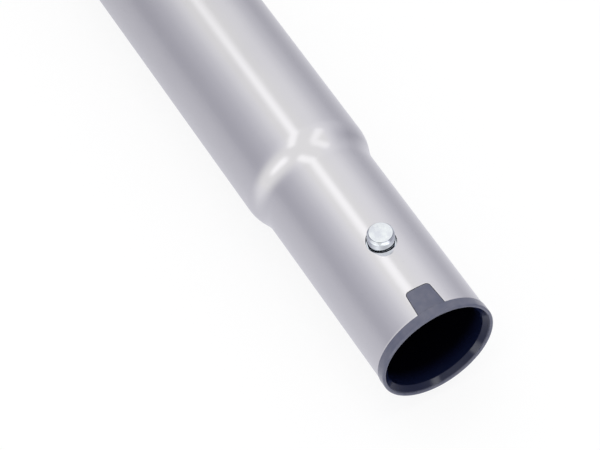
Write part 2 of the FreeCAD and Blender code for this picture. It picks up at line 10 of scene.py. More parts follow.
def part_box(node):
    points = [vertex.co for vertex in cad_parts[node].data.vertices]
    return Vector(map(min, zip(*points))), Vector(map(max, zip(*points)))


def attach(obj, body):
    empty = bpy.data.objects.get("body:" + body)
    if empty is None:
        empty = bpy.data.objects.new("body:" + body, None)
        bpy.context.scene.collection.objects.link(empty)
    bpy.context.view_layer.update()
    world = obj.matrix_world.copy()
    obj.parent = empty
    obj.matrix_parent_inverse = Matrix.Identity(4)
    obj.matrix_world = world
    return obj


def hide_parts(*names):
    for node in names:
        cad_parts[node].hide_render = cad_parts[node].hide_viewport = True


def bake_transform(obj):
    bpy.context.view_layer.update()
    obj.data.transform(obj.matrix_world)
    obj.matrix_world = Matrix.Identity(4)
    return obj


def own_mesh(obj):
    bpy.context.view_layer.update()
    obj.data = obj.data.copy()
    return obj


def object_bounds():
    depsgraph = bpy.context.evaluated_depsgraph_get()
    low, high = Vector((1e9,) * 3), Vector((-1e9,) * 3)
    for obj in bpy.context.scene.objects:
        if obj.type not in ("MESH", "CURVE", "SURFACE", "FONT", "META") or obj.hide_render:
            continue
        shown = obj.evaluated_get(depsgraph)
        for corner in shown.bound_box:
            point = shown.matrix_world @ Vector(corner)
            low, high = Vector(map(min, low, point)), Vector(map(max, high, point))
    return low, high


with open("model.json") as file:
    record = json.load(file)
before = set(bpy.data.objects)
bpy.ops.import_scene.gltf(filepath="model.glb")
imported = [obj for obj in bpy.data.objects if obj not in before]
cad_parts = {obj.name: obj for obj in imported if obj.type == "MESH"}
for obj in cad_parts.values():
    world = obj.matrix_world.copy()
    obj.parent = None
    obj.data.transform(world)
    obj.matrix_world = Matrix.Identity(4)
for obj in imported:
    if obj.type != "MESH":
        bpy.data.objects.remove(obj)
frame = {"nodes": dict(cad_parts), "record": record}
cad_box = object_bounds()
nodes = frame["nodes"]

MM = 0.001
DEGREE = math.pi / 180

# Swaged end of the outer tube
SPIGOT_RADIUS = 17.5 * MM
SWAGE_FRONT = -63.3 * MM
SWAGE_LENGTH = 10.3 * MM
SWAGE_BEND_SHARE = 0.5
TUBE_WALL = 0.9 * MM

# Openings of the outer tube: the tab's notch, the button's hole, the lock's window and the lug's hole
NOTCH_BACK = -10.95 * MM
NOTCH_FAR_WIDTH = 7.45 * MM
NOTCH_FRONT_WIDTH = 8.58 * MM
NOTCH_CORNER = 1.15 * MM
BUTTON_X = sum(corner[0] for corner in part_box("snap_button")) / 2
BUTTON_HOLE_RADIUS = 4.35 * MM
BUTTON_BEVEL_DROP = 0.7 * MM
BUTTON_TOP_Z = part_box("snap_button")[1][2]
BUTTON_EDGE_Z = BUTTON_TOP_Z - BUTTON_BEVEL_DROP
ROLLER_X = -495.0 * MM
WINDOW_HALF_LENGTH = 3.1 * MM
WINDOW_HALF_ANGLE = 16.875 * DEGREE
LUG_X = -481.0 * MM
LUG_HOLE_RADIUS = 3.05 * MM

# Inner tube, its groove and its notches
INNER_WALL = 0.8 * MM
GROOVE_HALF_WIDTH = 6.0 * MM
GROOVE_FLOOR = 15.6 * MM
GROOVE_EDGE = 0.25 * MM
GROOVE_ENDS = (-548.0 * MM, -106.0 * MM)
ROLLER_Z = 17.25 * MM
TROUGH_RADIUS = 3.1 * MM
NOTCH_PITCH = 20.0 * MM
NOTCH_COUNT = 19
PIN_X = -563.0 * MM
PIN_HOLE_RADIUS = 2.05 * MM
STUD_X = -93.0 * MM

# Where the end ring's colour turns from slate to a painted dark blue shade in its funnel, and then to painted
# black shade down its bore
FUNNEL_PAINTED_SHADE_X = (-0.35 * MM, -0.75 * MM)
FUNNEL_PAINTED_SHADE_RADIUS = (17.1 * MM, 16.75 * MM)
BORE_PAINTED_SHADE_X = (-2.0 * MM, -8.0 * MM)

# Heights under the button's top between which a painted dark reflection appears as a fine line on its bevel,
# and fades again
PAINTED_DARK_RIM_STARTS = (BUTTON_TOP_Z - 0.01 * MM, BUTTON_TOP_Z - 0.05 * MM)
PAINTED_DARK_RIM_FADES = (BUTTON_TOP_Z - 0.24 * MM, BUTTON_TOP_Z - 0.14 * MM)
BUTTON_SIDE_STARTS = (BUTTON_EDGE_Z, BUTTON_EDGE_Z - 0.1 * MM)

# Fineness of the new surfaces
AROUND = 192
RIM_BEVEL = 0.2 * MM
JOIN_DISTANCE = 0.001 * MM

# Camera, set by the outline of the nozzle end in the picture
CAMERA_PLACE = Vector((395.23, -224.16, 687.7)) * MM
CAMERA_AIM = Vector((-57.49, -10.95, 0.0)) * MM
CAMERA_ROLL = -5.757 * DEGREE
CAMERA_LENS = 180.0


def reach(node, axis):
    """The lowest and highest coordinate of a CAD node along an axis."""
    low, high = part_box(node)
    return low[axis], high[axis]


# Meshes


def lines_between(stops):
    """Grid lines from a list of (start, end, step): even steps in each stretch, with both ends kept."""
    stretches = []
    for start, end, step in stops:
        count = max(1, round(abs(end - start) / step))
        stretches.append(np.linspace(start, end, count + 1))
    return np.unique(np.round(np.concatenate(stretches), 8))


def joined_mesh(name, sheets):
    """A mesh from sheets of points. Neighbouring points of a sheet are joined by quads, except the quads
    that its mask leaves out, and points of two sheets that lie in one place become one."""
    points, quads, first = [], [], 0
    for sheet, left_out in sheets:
        rows, columns = sheet.shape[:2]
        number = first + np.arange(rows * columns).reshape(rows, columns)
        corners = np.stack([number[:-1, :-1], number[1:, :-1], number[1:, 1:], number[:-1, 1:]], axis=-1)
        quads.append(corners[~left_out] if left_out is not None else corners.reshape(-1, 4))
        points.append(sheet.reshape(-1, 3))
        first += rows * columns
    mesh = bpy.data.meshes.new(name)
    mesh.from_pydata(np.concatenate(points).tolist(), [], np.concatenate(quads).tolist())
    work = bmesh.new()
    work.from_mesh(mesh)
    bmesh.ops.remove_doubles(work, verts=work.verts, dist=JOIN_DISTANCE)
    bmesh.ops.delete(work, geom=[v for v in work.verts if not v.link_faces], context="VERTS")
    bmesh.ops.recalc_face_normals(work, faces=work.faces)
    work.to_mesh(mesh)
    work.free()
    return mesh


def rectangle_path(xs, vs):
    """The grid points along a rectangle's sides, once round, as (x, v) pairs without a repeated end."""
    low, high = np.full_like(xs, vs[0]), np.full_like(xs, vs[-1])
    back, front = np.full_like(vs, xs[0]), np.full_like(vs, xs[-1])
    return np.concatenate([
        np.stack([xs, low], axis=1)[:-1], np.stack([front, vs], axis=1)[:-1],
        np.stack([xs, high], axis=1)[:0:-1], np.stack([back, vs], axis=1)[:0:-1],
    ])


def fan(inner, outer, steps):
    """Points on straight lines from an inner path to an outer path, closer together at the inner one."""
    share = (np.linspace(0, 1, steps + 1) ** 1.3)[:, None, None]
    return inner + (outer - inner) * share


def within(lines, centre, half):
    """The grid lines within half of a centre, as a slice."""
    found = np.nonzero(np.abs(lines - centre) < half + JOIN_DISTANCE)[0]
    return slice(found[0], found[-1] + 1)


def leave_out(left_out, rows, columns):
    """Marks the quads between the given grid lines as left out."""
    left_out[rows.start:rows.stop - 1, columns.start:columns.stop - 1] = True


def round_opening(xs, vs, centre_x, centre_v, radius, wall_radius):
    """A drilled round hole seen along the radius at centre_v: its edge is a circle in x and in
    wall_radius * sin(v - centre_v), and a fan of points joins it to the rectangle of grid lines round it."""
    outer = rectangle_path(xs, vs)
    turn = np.arctan2(wall_radius * np.sin(outer[:, 1] - centre_v), outer[:, 0] - centre_x)
    inner = np.stack([centre_x + radius * np.cos(turn),
                      centre_v + np.arcsin(radius * np.sin(turn) / wall_radius)], axis=1)
    sheet = fan(inner, outer, 6)
    return np.concatenate([sheet, sheet[:, :1]], axis=1)


def path_with_corner(start, corner, end, radius, steps):
    """From start to end past a corner that is rounded: a line, an arc that touches both lines, a line.
    Gives the points before the arc's middle and those from its middle on."""
    to_start, to_end = start - corner, end - corner
    to_start, to_end = to_start / np.linalg.norm(to_start), to_end / np.linalg.norm(to_end)
    half = math.acos(float(to_start @ to_end)) / 2
    middle = (to_start + to_end) / np.linalg.norm(to_start + to_end)
    centre = corner + middle * radius / math.sin(half)
    touch = corner + to_start * radius / math.tan(half)
    first, last = touch - centre, corner + to_end * radius / math.tan(half) - centre
    angle_a, angle_b = math.atan2(first[1], first[0]), math.atan2(last[1], last[0])
    sweep = (angle_b - angle_a + math.pi) % (2 * math.pi) - math.pi
    angles = angle_a + sweep * np.linspace(0, 1, 2 * steps + 1)
    arc = centre + radius * np.stack([np.cos(angles), np.sin(angles)], axis=1)
    return np.concatenate([start[None], arc[:steps + 1]]), np.concatenate([arc[steps:], end[None]])


def spread(path, count):
    """Points at even distances along a path."""
    length = np.concatenate([[0], np.cumsum(np.linalg.norm(np.diff(path, axis=0), axis=1))])
    even = np.linspace(0, length[-1], count)
    return np.stack([np.interp(even, length, path[:, 0]), np.interp(even, length, path[:, 1])], axis=1)


def notch_opening(xs, vs):
    """The tab's notch in the tube's front edge: slanted sides, a straight back and two rounded corners,
    joined by a fan to the grid lines beside and behind it."""
    front = xs[-1]
    near, far = NOTCH_FRONT_WIDTH / 2, NOTCH_FAR_WIDTH / 2
    left_front, left_back = np.array([front, -near]), np.array([NOTCH_BACK, -far])
    right_front, right_back = np.array([front, near]), np.array([NOTCH_BACK, far])
    middle = np.array([NOTCH_BACK, 0.0])
    side_a, back_a = path_with_corner(left_front, left_back, middle, NOTCH_CORNER, 4)
    back_b, side_b = path_with_corner(middle, right_back, right_front, NOTCH_CORNER, 4)
    back = np.concatenate([back_a, back_b[1:]])
    inner = np.concatenate([spread(side_a, len(xs))[:-1], spread(back, len(vs))[:-1],
                            spread(side_b, len(xs))])
    inner[:, 1] = np.arcsin(inner[:, 1] / SPIGOT_RADIUS)
    outer = np.concatenate([
        np.stack([xs[::-1], np.full_like(xs, vs[0])], axis=1)[:-1],
        np.stack([np.full_like(vs, xs[0]), vs], axis=1)[:-1],
        np.stack([xs, np.full_like(xs, vs[-1])], axis=1),
    ])
    return fan(inner, outer, 8)


def finished_mesh(piece, sharp_angle):
    """Takes the modifiers' result into the piece's own mesh, right side out, with soft shading
    that breaks at edges sharper than the angle."""
    bpy.context.view_layer.update()
    result = bpy.data.meshes.new_from_object(piece.evaluated_get(bpy.context.evaluated_depsgraph_get()))
    piece.modifiers.clear()
    piece.data = result
    work = bmesh.new()
    work.from_mesh(result)
    if work.calc_volume(signed=True) < 0:
        bmesh.ops.reverse_faces(work, faces=work.faces)
    work.to_mesh(result)
    work.free()
    result.shade_smooth()
    result.set_sharp_from_angle(angle=sharp_angle)


def add_piece(name, mesh, material, body, stands_for):
    """A new piece with its finish, the body that it rides on and the CAD node that it stands for, if any."""
    piece = bpy.data.objects.new(name, mesh)
    bpy.context.scene.collection.objects.link(piece)
    mesh.materials.append(material)
    if body:
        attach(piece, body)
    if stands_for:
        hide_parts(stands_for)
    return piece


def walled(piece, wall, side, bevel):
    """Gives a sheet its wall, to one side (-1 is inwards) or to both (0), and breaks the sharp rims."""
    solid = piece.modifiers.new("wall", "SOLIDIFY")
    solid.thickness = wall
    solid.offset = side
    solid.use_even_offset = True
    rims = piece.modifiers.new("rims", "BEVEL")
    rims.width = bevel
    rims.segments = 2
    rims.limit_method = "ANGLE"
    rims.angle_limit = 50 * DEGREE
    finished_mesh(piece, 35 * DEGREE)


def turned_mesh(name, profile, axis_x):
    """A profile of (radius, z) points turned about a vertical line at axis_x."""
    angles = np.linspace(0, 2 * math.pi, AROUND // 2 + 1)
    radius, height = profile[:, :1], profile[:, 1:]
    sheet = np.stack([axis_x + radius * np.cos(angles), radius * np.sin(angles),
                      height + 0 * angles], axis=-1)
    return joined_mesh(name, [(sheet, None)])


def rounded_profile(corners):
    """A line through (a, b, radius) corners, with a small arc in each corner whose radius isn't zero."""
    spots = [np.array(c[:2]) for c in corners]
    line = [spots[0]]
    for before, (a, b, radius), after in zip(spots, corners[1:-1], spots[2:]):
        if radius:
            arc_in, arc_out = path_with_corner(before, np.array([a, b]), after, radius, 3)
            line += list(arc_in[1:]) + list(arc_out[1:-1])
        else:
            line.append(np.array([a, b]))
    return np.array(line + [spots[-1]])


# Finishes


def new_node(tree, kind, links=None, **values):
    """A shader node with its settings and socket values. A value that is an output socket is linked."""
    node = tree.nodes.new("ShaderNode" + kind)
    for name, value in values.items():
        setattr(node, name, value)
    for name, value in (links or {}).items():
        socket = node.inputs[name]
        if isinstance(value, bpy.types.NodeSocket):
            tree.links.new(value, socket)
        else:
            socket.default_value = value
    return node


def between(tree, value, span, low=0.0, high=1.0, kind="LINEAR"):
    """A value carried from the span's two ends to low and high, and held there past them."""
    return new_node(tree, "MapRange", {"Value": value, "From Min": span[0], "From Max": span[1],
                                       "To Min": low, "To Max": high}, interpolation_type=kind).outputs[0]


def effect_group(name, inputs, outputs):
    """An empty node group with named sockets: inputs with their values, and outputs with their kinds."""
    group = bpy.data.node_groups.new(name, "ShaderNodeTree")
    for socket, value in inputs.items():
        made = group.interface.new_socket(socket, in_out="INPUT", socket_type="NodeSocketFloat")
        made.default_value = value
    for socket, kind in outputs.items():
        group.interface.new_socket(socket, in_out="OUTPUT", socket_type="NodeSocket" + kind)
    return group, group.nodes.new("NodeGroupInput"), group.nodes.new("NodeGroupOutput")


def make_grain():
    """Fine pebbled grain of moulded plastic, with a slow drift of shade. Size is grains per metre."""
    group, given, result = effect_group("moulded_grain", {"Size": 2500.0, "Drift": 60.0},
                                        {"Height": "Float", "Shade": "Float"})
    place = new_node(group, "TexCoord").outputs["Object"]
    fine = new_node(group, "TexVoronoi", {"Vector": place, "Scale": given.outputs["Size"]},
                    feature="SMOOTH_F1")
    rough = new_node(group, "TexNoise", {"Vector": place, "Scale": given.outputs["Size"], "Detail": 3.0})
    mixed = new_node(group, "Math", {0: fine.outputs["Distance"], 1: rough.outputs["Fac"]}, operation="ADD")
    slow = new_node(group, "TexNoise", {"Vector": place, "Scale": given.outputs["Drift"], "Detail": 4.0})
    group.links.new(mixed.outputs[0], result.inputs["Height"])
    group.links.new(slow.outputs["Fac"], result.inputs["Shade"])
    return group


def make_drawn():
    """Polished drawn tube: hair-fine lines along X, a slow cloudiness and small specks."""
    group, given, result = effect_group("drawn_metal", {"Lines": 9000.0, "Clouds": 45.0},
                                        {"Height": "Float", "Cloud": "Float", "Speck": "Float"})
    place = new_node(group, "TexCoord").outputs["Object"]
    drawn_out = new_node(group, "VectorMath", {0: place, 1: (0.004, 1.0, 1.0)}, operation="MULTIPLY")
    lines = new_node(group, "TexNoise", {"Vector": drawn_out.outputs[0], "Scale": given.outputs["Lines"],
                                         "Detail": 2.0})
    clouds = new_node(group, "TexNoise", {"Vector": place, "Scale": given.outputs["Clouds"], "Detail": 5.0,
                                          "Roughness": 0.6})
    specks = new_node(group, "TexNoise", {"Vector": place, "Scale": 1400.0, "Detail": 1.0})
    sparse = between(group, specks.outputs["Fac"], (0.72, 0.8))
    group.links.new(lines.outputs["Fac"], result.inputs["Height"])
    group.links.new(clouds.outputs["Fac"], result.inputs["Cloud"])
    group.links.new(sparse, result.inputs["Speck"])
    return group


def make_edge():
    """Softens sharp edges over a radius and marks them: the mask grows where the rounded normal leaves the
    true one, broken up by a noise so that it looks patchy and not drawn. The materials paint the marked edges
    paler, as edge wear and as a painted edge highlight."""
    group, given, result = effect_group("edge_wear_and_highlight", {"Radius": 0.3 * MM, "Break": 400.0},
                                        {"Normal": "Vector", "Mask": "Float"})
    soft = new_node(group, "Bevel", {"Radius": given.outputs["Radius"]}, samples=6)
    true = new_node(group, "NewGeometry").outputs["Normal"]
    facing = new_node(group, "VectorMath", {0: soft.outputs["Normal"], 1: true}, operation="DOT_PRODUCT")
    edge = between(group, facing.outputs["Value"], (0.995, 0.8))
    place = new_node(group, "TexCoord").outputs["Object"]
    broken = new_node(group, "TexNoise", {"Vector": place, "Scale": given.outputs["Break"], "Detail": 3.0})
    broken_up = between(group, broken.outputs["Fac"], (0.35, 0.65))
    mask = new_node(group, "Math", {0: edge, 1: broken_up}, operation="MULTIPLY")
    group.links.new(soft.outputs["Normal"], result.inputs["Normal"])
    group.links.new(mask.outputs[0], result.inputs["Mask"])
    return group


GRAIN, DRAWN, EDGE = make_grain(), make_drawn(), make_edge()


def use_group(tree, group, **values):
    """A shared effect in a material, with its socket values."""
    node = new_node(tree, "Group", node_tree=group)
    for name, value in values.items():
        node.inputs[name.replace("_", " ")].default_value = value
    return node


def blank_material(name):
    """A material that holds only a shader and its output."""
    material = bpy.data.materials.new(name)
    material.use_nodes = True
    tree = material.node_tree
    tree.nodes.clear()
    shader = new_node(tree, "BsdfPrincipled")
    output = new_node(tree, "OutputMaterial")
    tree.links.new(shader.outputs[0], output.inputs["Surface"])
    return material, tree, shader


def mixed_colour(tree, factor, a, b):
    """A colour between a and b by a factor; a and b are colours or sockets."""
    mix = new_node(tree, "Mix", data_type="RGBA")
    tree.links.new(factor, mix.inputs[0])
    for socket, value in ((mix.inputs[6], a), (mix.inputs[7], b)):
        if isinstance(value, bpy.types.NodeSocket):
            tree.links.new(value, socket)
        else:
            socket.default_value = (*value, 1.0)
    return mix.outputs[2]


def ranged(tree, value, low, high, start=0.3, end=0.7):
    """A pattern's value spread between low and high."""
    return between(tree, value, (start, end), low, high)


def bump(tree, height, distance, strength, normal=None):
    """A normal bent by a height, over another normal if one is given."""
    node = new_node(tree, "Bump", {"Height": height, "Distance": distance, "Strength": strength})
    if normal is not None:
        tree.links.new(normal, node.inputs["Normal"])
    return node.outputs["Normal"]


def plastic(name, dark, pale, roughness, grain_size, depth, edge_colour, edge_radius):
    """Moulded plastic: grained, with painted shade in the hollows of its grain, a little uneven in shade, and
    paler along its edges, partly as wear and partly as a painted edge highlight.
    """
    material, tree, shader = blank_material(name)
    grain = use_group(tree, GRAIN, Size=grain_size)
    edge = use_group(tree, EDGE, Radius=edge_radius)
    drift = mixed_colour(tree, ranged(tree, grain.outputs["Shade"], 0.0, 1.0), dark, pale)
    # Painted shade: the grain's low spots are darkened
    painted_valley_shade = tuple(part * 0.7 for part in dark)
    base = mixed_colour(tree, ranged(tree, grain.outputs["Height"], 0.0, 0.6, 1.0, 0.65), drift, painted_valley_shade)
    # Paler edges: partly wear, partly a painted edge highlight
    tree.links.new(mixed_colour(tree, edge.outputs["Mask"], base, edge_colour), shader.inputs["Base Color"])
    tree.links.new(ranged(tree, grain.outputs["Shade"], roughness - 0.05, roughness + 0.05),
                   shader.inputs["Roughness"])
    tree.links.new(bump(tree, grain.outputs["Height"], depth, 0.8, edge.outputs["Normal"]),
                   shader.inputs["Normal"])
    return material


def metal(name, dark, pale, roughness, lines, depth, edge_radius):
    """Bare metal: fine lines, a slow cloudiness in tone and gloss, and softened edges."""
    material, tree, shader = blank_material(name)
    drawn = use_group(tree, DRAWN, Lines=lines)
    edge = use_group(tree, EDGE, Radius=edge_radius)
    tree.links.new(mixed_colour(tree, ranged(tree, drawn.outputs["Cloud"], 0.0, 1.0), dark, pale),
                   shader.inputs["Base Color"])
    tree.links.new(ranged(tree, drawn.outputs["Cloud"], roughness * 0.85, roughness * 1.15),
                   shader.inputs["Roughness"])
    shader.inputs["Metallic"].default_value = 1.0
    tree.links.new(bump(tree, drawn.outputs["Height"], depth, 0.3, edge.outputs["Normal"]),
                   shader.inputs["Normal"])
    return material


def make_satin_chrome():
    """Satin chromed steel of the two tubes."""
    material, tree, shader = blank_material("satin_chrome")
    drawn = use_group(tree, DRAWN)
    base = mixed_colour(tree, ranged(tree, drawn.outputs["Cloud"], 0.0, 1.0), (0.69, 0.68, 0.70),
                        (0.71, 0.70, 0.715))
    tree.links.new(mixed_colour(tree, drawn.outputs["Speck"], base, (0.62, 0.612, 0.63)),
                   shader.inputs["Base Color"])
    tree.links.new(ranged(tree, drawn.outputs["Cloud"], 0.13, 0.17), shader.inputs["Roughness"])
    shader.inputs["Metallic"].default_value = 1.0
    tree.links.new(bump(tree, drawn.outputs["Height"], 0.0004 * MM, 0.4), shader.inputs["Normal"])
    return material


def make_turned_button():
    """Polished button: faint lathe rings round its own axis, a cool cloudy mottle, a fine painted dark
    reflection as a line on its bevel, and a brighter side."""
    material, tree, shader = blank_material("turned_button")
    place = new_node(tree, "TexCoord").outputs["Object"]
    centred = new_node(tree, "Mapping", {"Vector": place, "Location": (-BUTTON_X, 0.0, 0.0)})
    rings = new_node(tree, "TexWave", {"Vector": centred.outputs[0], "Scale": 900.0, "Distortion": 1.5,
                                       "Detail": 2.0}, wave_type="RINGS", rings_direction="Z")
    cloud = use_group(tree, DRAWN, Clouds=420.0)
    mottle = mixed_colour(tree, ranged(tree, cloud.outputs["Cloud"], 0.0, 1.0, 0.38, 0.62),
                          (0.74, 0.77, 0.83), (0.9, 0.94, 0.95))
    turned = mixed_colour(tree, ranged(tree, rings.outputs["Fac"], 0.0, 0.25, 0.0, 1.0), mottle,
                          (0.65, 0.67, 0.71))
    height = new_node(tree, "SeparateXYZ", {0: place}).outputs["Z"]
    faced = mixed_colour(tree, between(tree, height, BUTTON_SIDE_STARTS), turned, (0.8, 0.85, 0.9))
    # Painted reflection: a fine dark line on the bevel just under the top's edge
    line = new_node(tree, "Math", {0: between(tree, height, PAINTED_DARK_RIM_STARTS),
                                   1: between(tree, height, PAINTED_DARK_RIM_FADES)}, operation="MULTIPLY")
    tree.links.new(mixed_colour(tree, line.outputs[0], faced, (0.36, 0.39, 0.43)),
                   shader.inputs["Base Color"])
    tree.links.new(ranged(tree, rings.outputs["Fac"], 0.07, 0.13, 0.0, 1.0), shader.inputs["Roughness"])
    shader.inputs["Metallic"].default_value = 1.0
    tree.links.new(bump(tree, rings.outputs["Fac"], 0.002 * MM, 0.3), shader.inputs["Normal"])
    return material


def make_ring_plastic():
    """Slate plastic of the end ring: a glossy coat over a faint cool mottle and fine grain outside, paler
    along its edges, partly as edge wear and partly as a painted edge highlight. Its funnel is smooth without
    the coat and painted dark blue as shade, and the painted shade turns black down the bore."""
    material, tree, shader = blank_material("slate_plastic")
    grain = use_group(tree, GRAIN, Size=5200.0, Drift=420.0)
    edge = use_group(tree, EDGE, Radius=0.3 * MM)
    place = new_node(tree, "TexCoord").outputs["Object"]
    parts = new_node(tree, "SeparateXYZ", {0: place})
    across = new_node(tree, "CombineXYZ", {"Y": parts.outputs["Y"], "Z": parts.outputs["Z"]})
    radius = new_node(tree, "VectorMath", {0: across.outputs[0]}, operation="LENGTH")
    inside = between(tree, radius.outputs["Value"], FUNNEL_PAINTED_SHADE_RADIUS, kind="SMOOTHSTEP")
    behind = between(tree, parts.outputs["X"], FUNNEL_PAINTED_SHADE_X, kind="SMOOTHSTEP")
    funnel = new_node(tree, "Math", {0: inside, 1: behind}, operation="MULTIPLY").outputs[0]
    # Painted shade: the funnel is painted dark blue, and black further down the bore, where little light
    # reaches
    painted_bore_shade = between(tree, parts.outputs["X"], BORE_PAINTED_SHADE_X, kind="SMOOTHSTEP")
    slate = mixed_colour(tree, ranged(tree, grain.outputs["Shade"], 0.0, 1.0), (0.078, 0.086, 0.135),
                         (0.112, 0.115, 0.16))
    # Paler edges: partly wear, partly a painted edge highlight
    wear_and_highlight = mixed_colour(tree, edge.outputs["Mask"], slate, (0.27, 0.28, 0.33))
    painted_funnel_shade = mixed_colour(tree, painted_bore_shade, (0.006, 0.009, 0.032), (0.001, 0.001, 0.003))
    tree.links.new(mixed_colour(tree, funnel, wear_and_highlight, painted_funnel_shade), shader.inputs["Base Color"])
    rough = ranged(tree, grain.outputs["Shade"], 0.17, 0.26)
    smoother = new_node(tree, "Math", {0: funnel, 1: -0.09, 2: rough}, operation="MULTIPLY_ADD")
    tree.links.new(smoother.outputs[0], shader.inputs["Roughness"])
    tree.links.new(between(tree, funnel, (0.0, 1.0), 0.7, 0.0), shader.inputs["Coat Weight"])
    shader.inputs["Coat Roughness"].default_value = 0.18
    shader.inputs["Specular IOR Level"].default_value = 0.3
    tree.links.new(bump(tree, grain.outputs["Height"], 0.004 * MM, 0.3, edge.outputs["Normal"]),
                   shader.inputs["Normal"])
    return material


def make_rubber(name, colour, size, depth):
    """Matt rubber: a fine grain, a slow drift between two close shades and a little sheen."""
    material, tree, shader = blank_material(name)
    grain = use_group(tree, GRAIN, Size=size)
    pale = tuple(c * 1.35 + 0.004 for c in colour)
    tree.links.new(mixed_colour(tree, ranged(tree, grain.outputs["Shade"], 0.0, 1.0), colour, pale),
                   shader.inputs["Base Color"])
    tree.links.new(ranged(tree, grain.outputs["Shade"], 0.68, 0.82), shader.inputs["Roughness"])
    shader.inputs["Specular IOR Level"].default_value = 0.35
    shader.inputs["Sheen Weight"].default_value = 0.08
    tree.links.new(bump(tree, grain.outputs["Height"], depth, 0.5), shader.inputs["Normal"])
    return material


def make_felt():
    """Pressed felt: crossing fibres from two stretched noises, matt with a soft sheen."""
    material, tree, shader = blank_material("pressed_felt")
    place = new_node(tree, "TexCoord").outputs["Object"]
    along = new_node(tree, "Mapping", {"Vector": place, "Scale": (1.0, 0.15, 0.15)})
    across = new_node(tree, "Mapping", {"Vector": place, "Scale": (0.15, 1.0, 1.0),
                                        "Rotation": (0.6, 0.5, 0.0)})
    fibre_a = new_node(tree, "TexNoise", {"Vector": along.outputs[0], "Scale": 5000.0, "Detail": 3.0})
    fibre_b = new_node(tree, "TexNoise", {"Vector": across.outputs[0], "Scale": 5000.0, "Detail": 3.0})
    fibres = new_node(tree, "Math", {0: fibre_a.outputs["Fac"], 1: fibre_b.outputs["Fac"]},
                      operation="MAXIMUM")
    tree.links.new(mixed_colour(tree, ranged(tree, fibres.outputs[0], 0.0, 1.0, 0.45, 0.7),
                                (0.03, 0.03, 0.033), (0.12, 0.12, 0.125)), shader.inputs["Base Color"])
    shader.inputs["Roughness"].default_value = 0.95
    shader.inputs["Sheen Weight"].default_value = 0.4
    tree.links.new(bump(tree, fibres.outputs[0], 0.08 * MM, 0.8), shader.inputs["Normal"])
    return material


finishes = {
    "tube_metal": make_satin_chrome(),
    "ring_plastic": make_ring_plastic(),
    "button_metal": make_turned_button(),
    "spring_metal": metal("spring_steel", (0.5, 0.5, 0.5), (0.6, 0.6, 0.59), 0.25, 6000.0, 0.001 * MM,
                          0.08 * MM),
    "lock_metal": metal("ground_steel", (0.52, 0.52, 0.53), (0.62, 0.62, 0.62), 0.3, 4000.0,
                        0.002 * MM, 0.15 * MM),
    "screw_metal": metal("zinc_plate", (0.42, 0.43, 0.45), (0.56, 0.56, 0.57), 0.35, 3000.0,
                         0.002 * MM, 0.12 * MM),
    "housing_plastic": plastic("grained_housing", (0.05, 0.053, 0.066), (0.07, 0.073, 0.088), 0.42, 1700.0,
                               0.07 * MM, (0.15, 0.155, 0.175), 0.6 * MM),
    "slider_plastic": plastic("grey_slider", (0.17, 0.175, 0.19), (0.2, 0.205, 0.22), 0.42, 3600.0,
                              0.015 * MM, (0.28, 0.285, 0.3), 0.3 * MM),
    "bush_plastic": plastic("waxy_bush", (0.66, 0.66, 0.62), (0.72, 0.72, 0.69), 0.4, 2800.0, 0.008 * MM,
                            (0.78, 0.78, 0.76), 0.3 * MM),
    "pad_rubber": make_rubber("thumb_rubber", (0.025, 0.025, 0.028), 3800.0, 0.02 * MM),
    "seal_rubber": make_rubber("seal_rubber", (0.02, 0.02, 0.02), 3000.0, 0.02 * MM),
    "wiper_felt": make_felt(),
}
for part in frame["record"]["subparts"]:
    nodes[part["node"]].material_slots[0].material = finishes[part["material_slot"]]


# Outer tube


def tube_radius_at(x, large, small):
    """The swaged tube's outside: the large radius, an arc that turns inwards, an arc that turns back, and
    the small radius. The two arcs touch each other and both straight ends."""
    drop = large - small
    bends = (SWAGE_LENGTH ** 2 + drop ** 2) / (2 * drop)
    turn = 2 * math.atan(drop / SWAGE_LENGTH)
    outer, inner = bends * SWAGE_BEND_SHARE, bends * (1 - SWAGE_BEND_SHARE)
    back = SWAGE_FRONT - SWAGE_LENGTH
    first = large - outer + np.sqrt(np.clip(outer ** 2 - (x - back) ** 2, 0, None))
    second = small + inner - np.sqrt(np.clip(inner ** 2 - (SWAGE_FRONT - x) ** 2, 0, None))
    return np.select([x <= back, x <= back + outer * math.sin(turn), x <= SWAGE_FRONT],
                     [large, first, second], small)


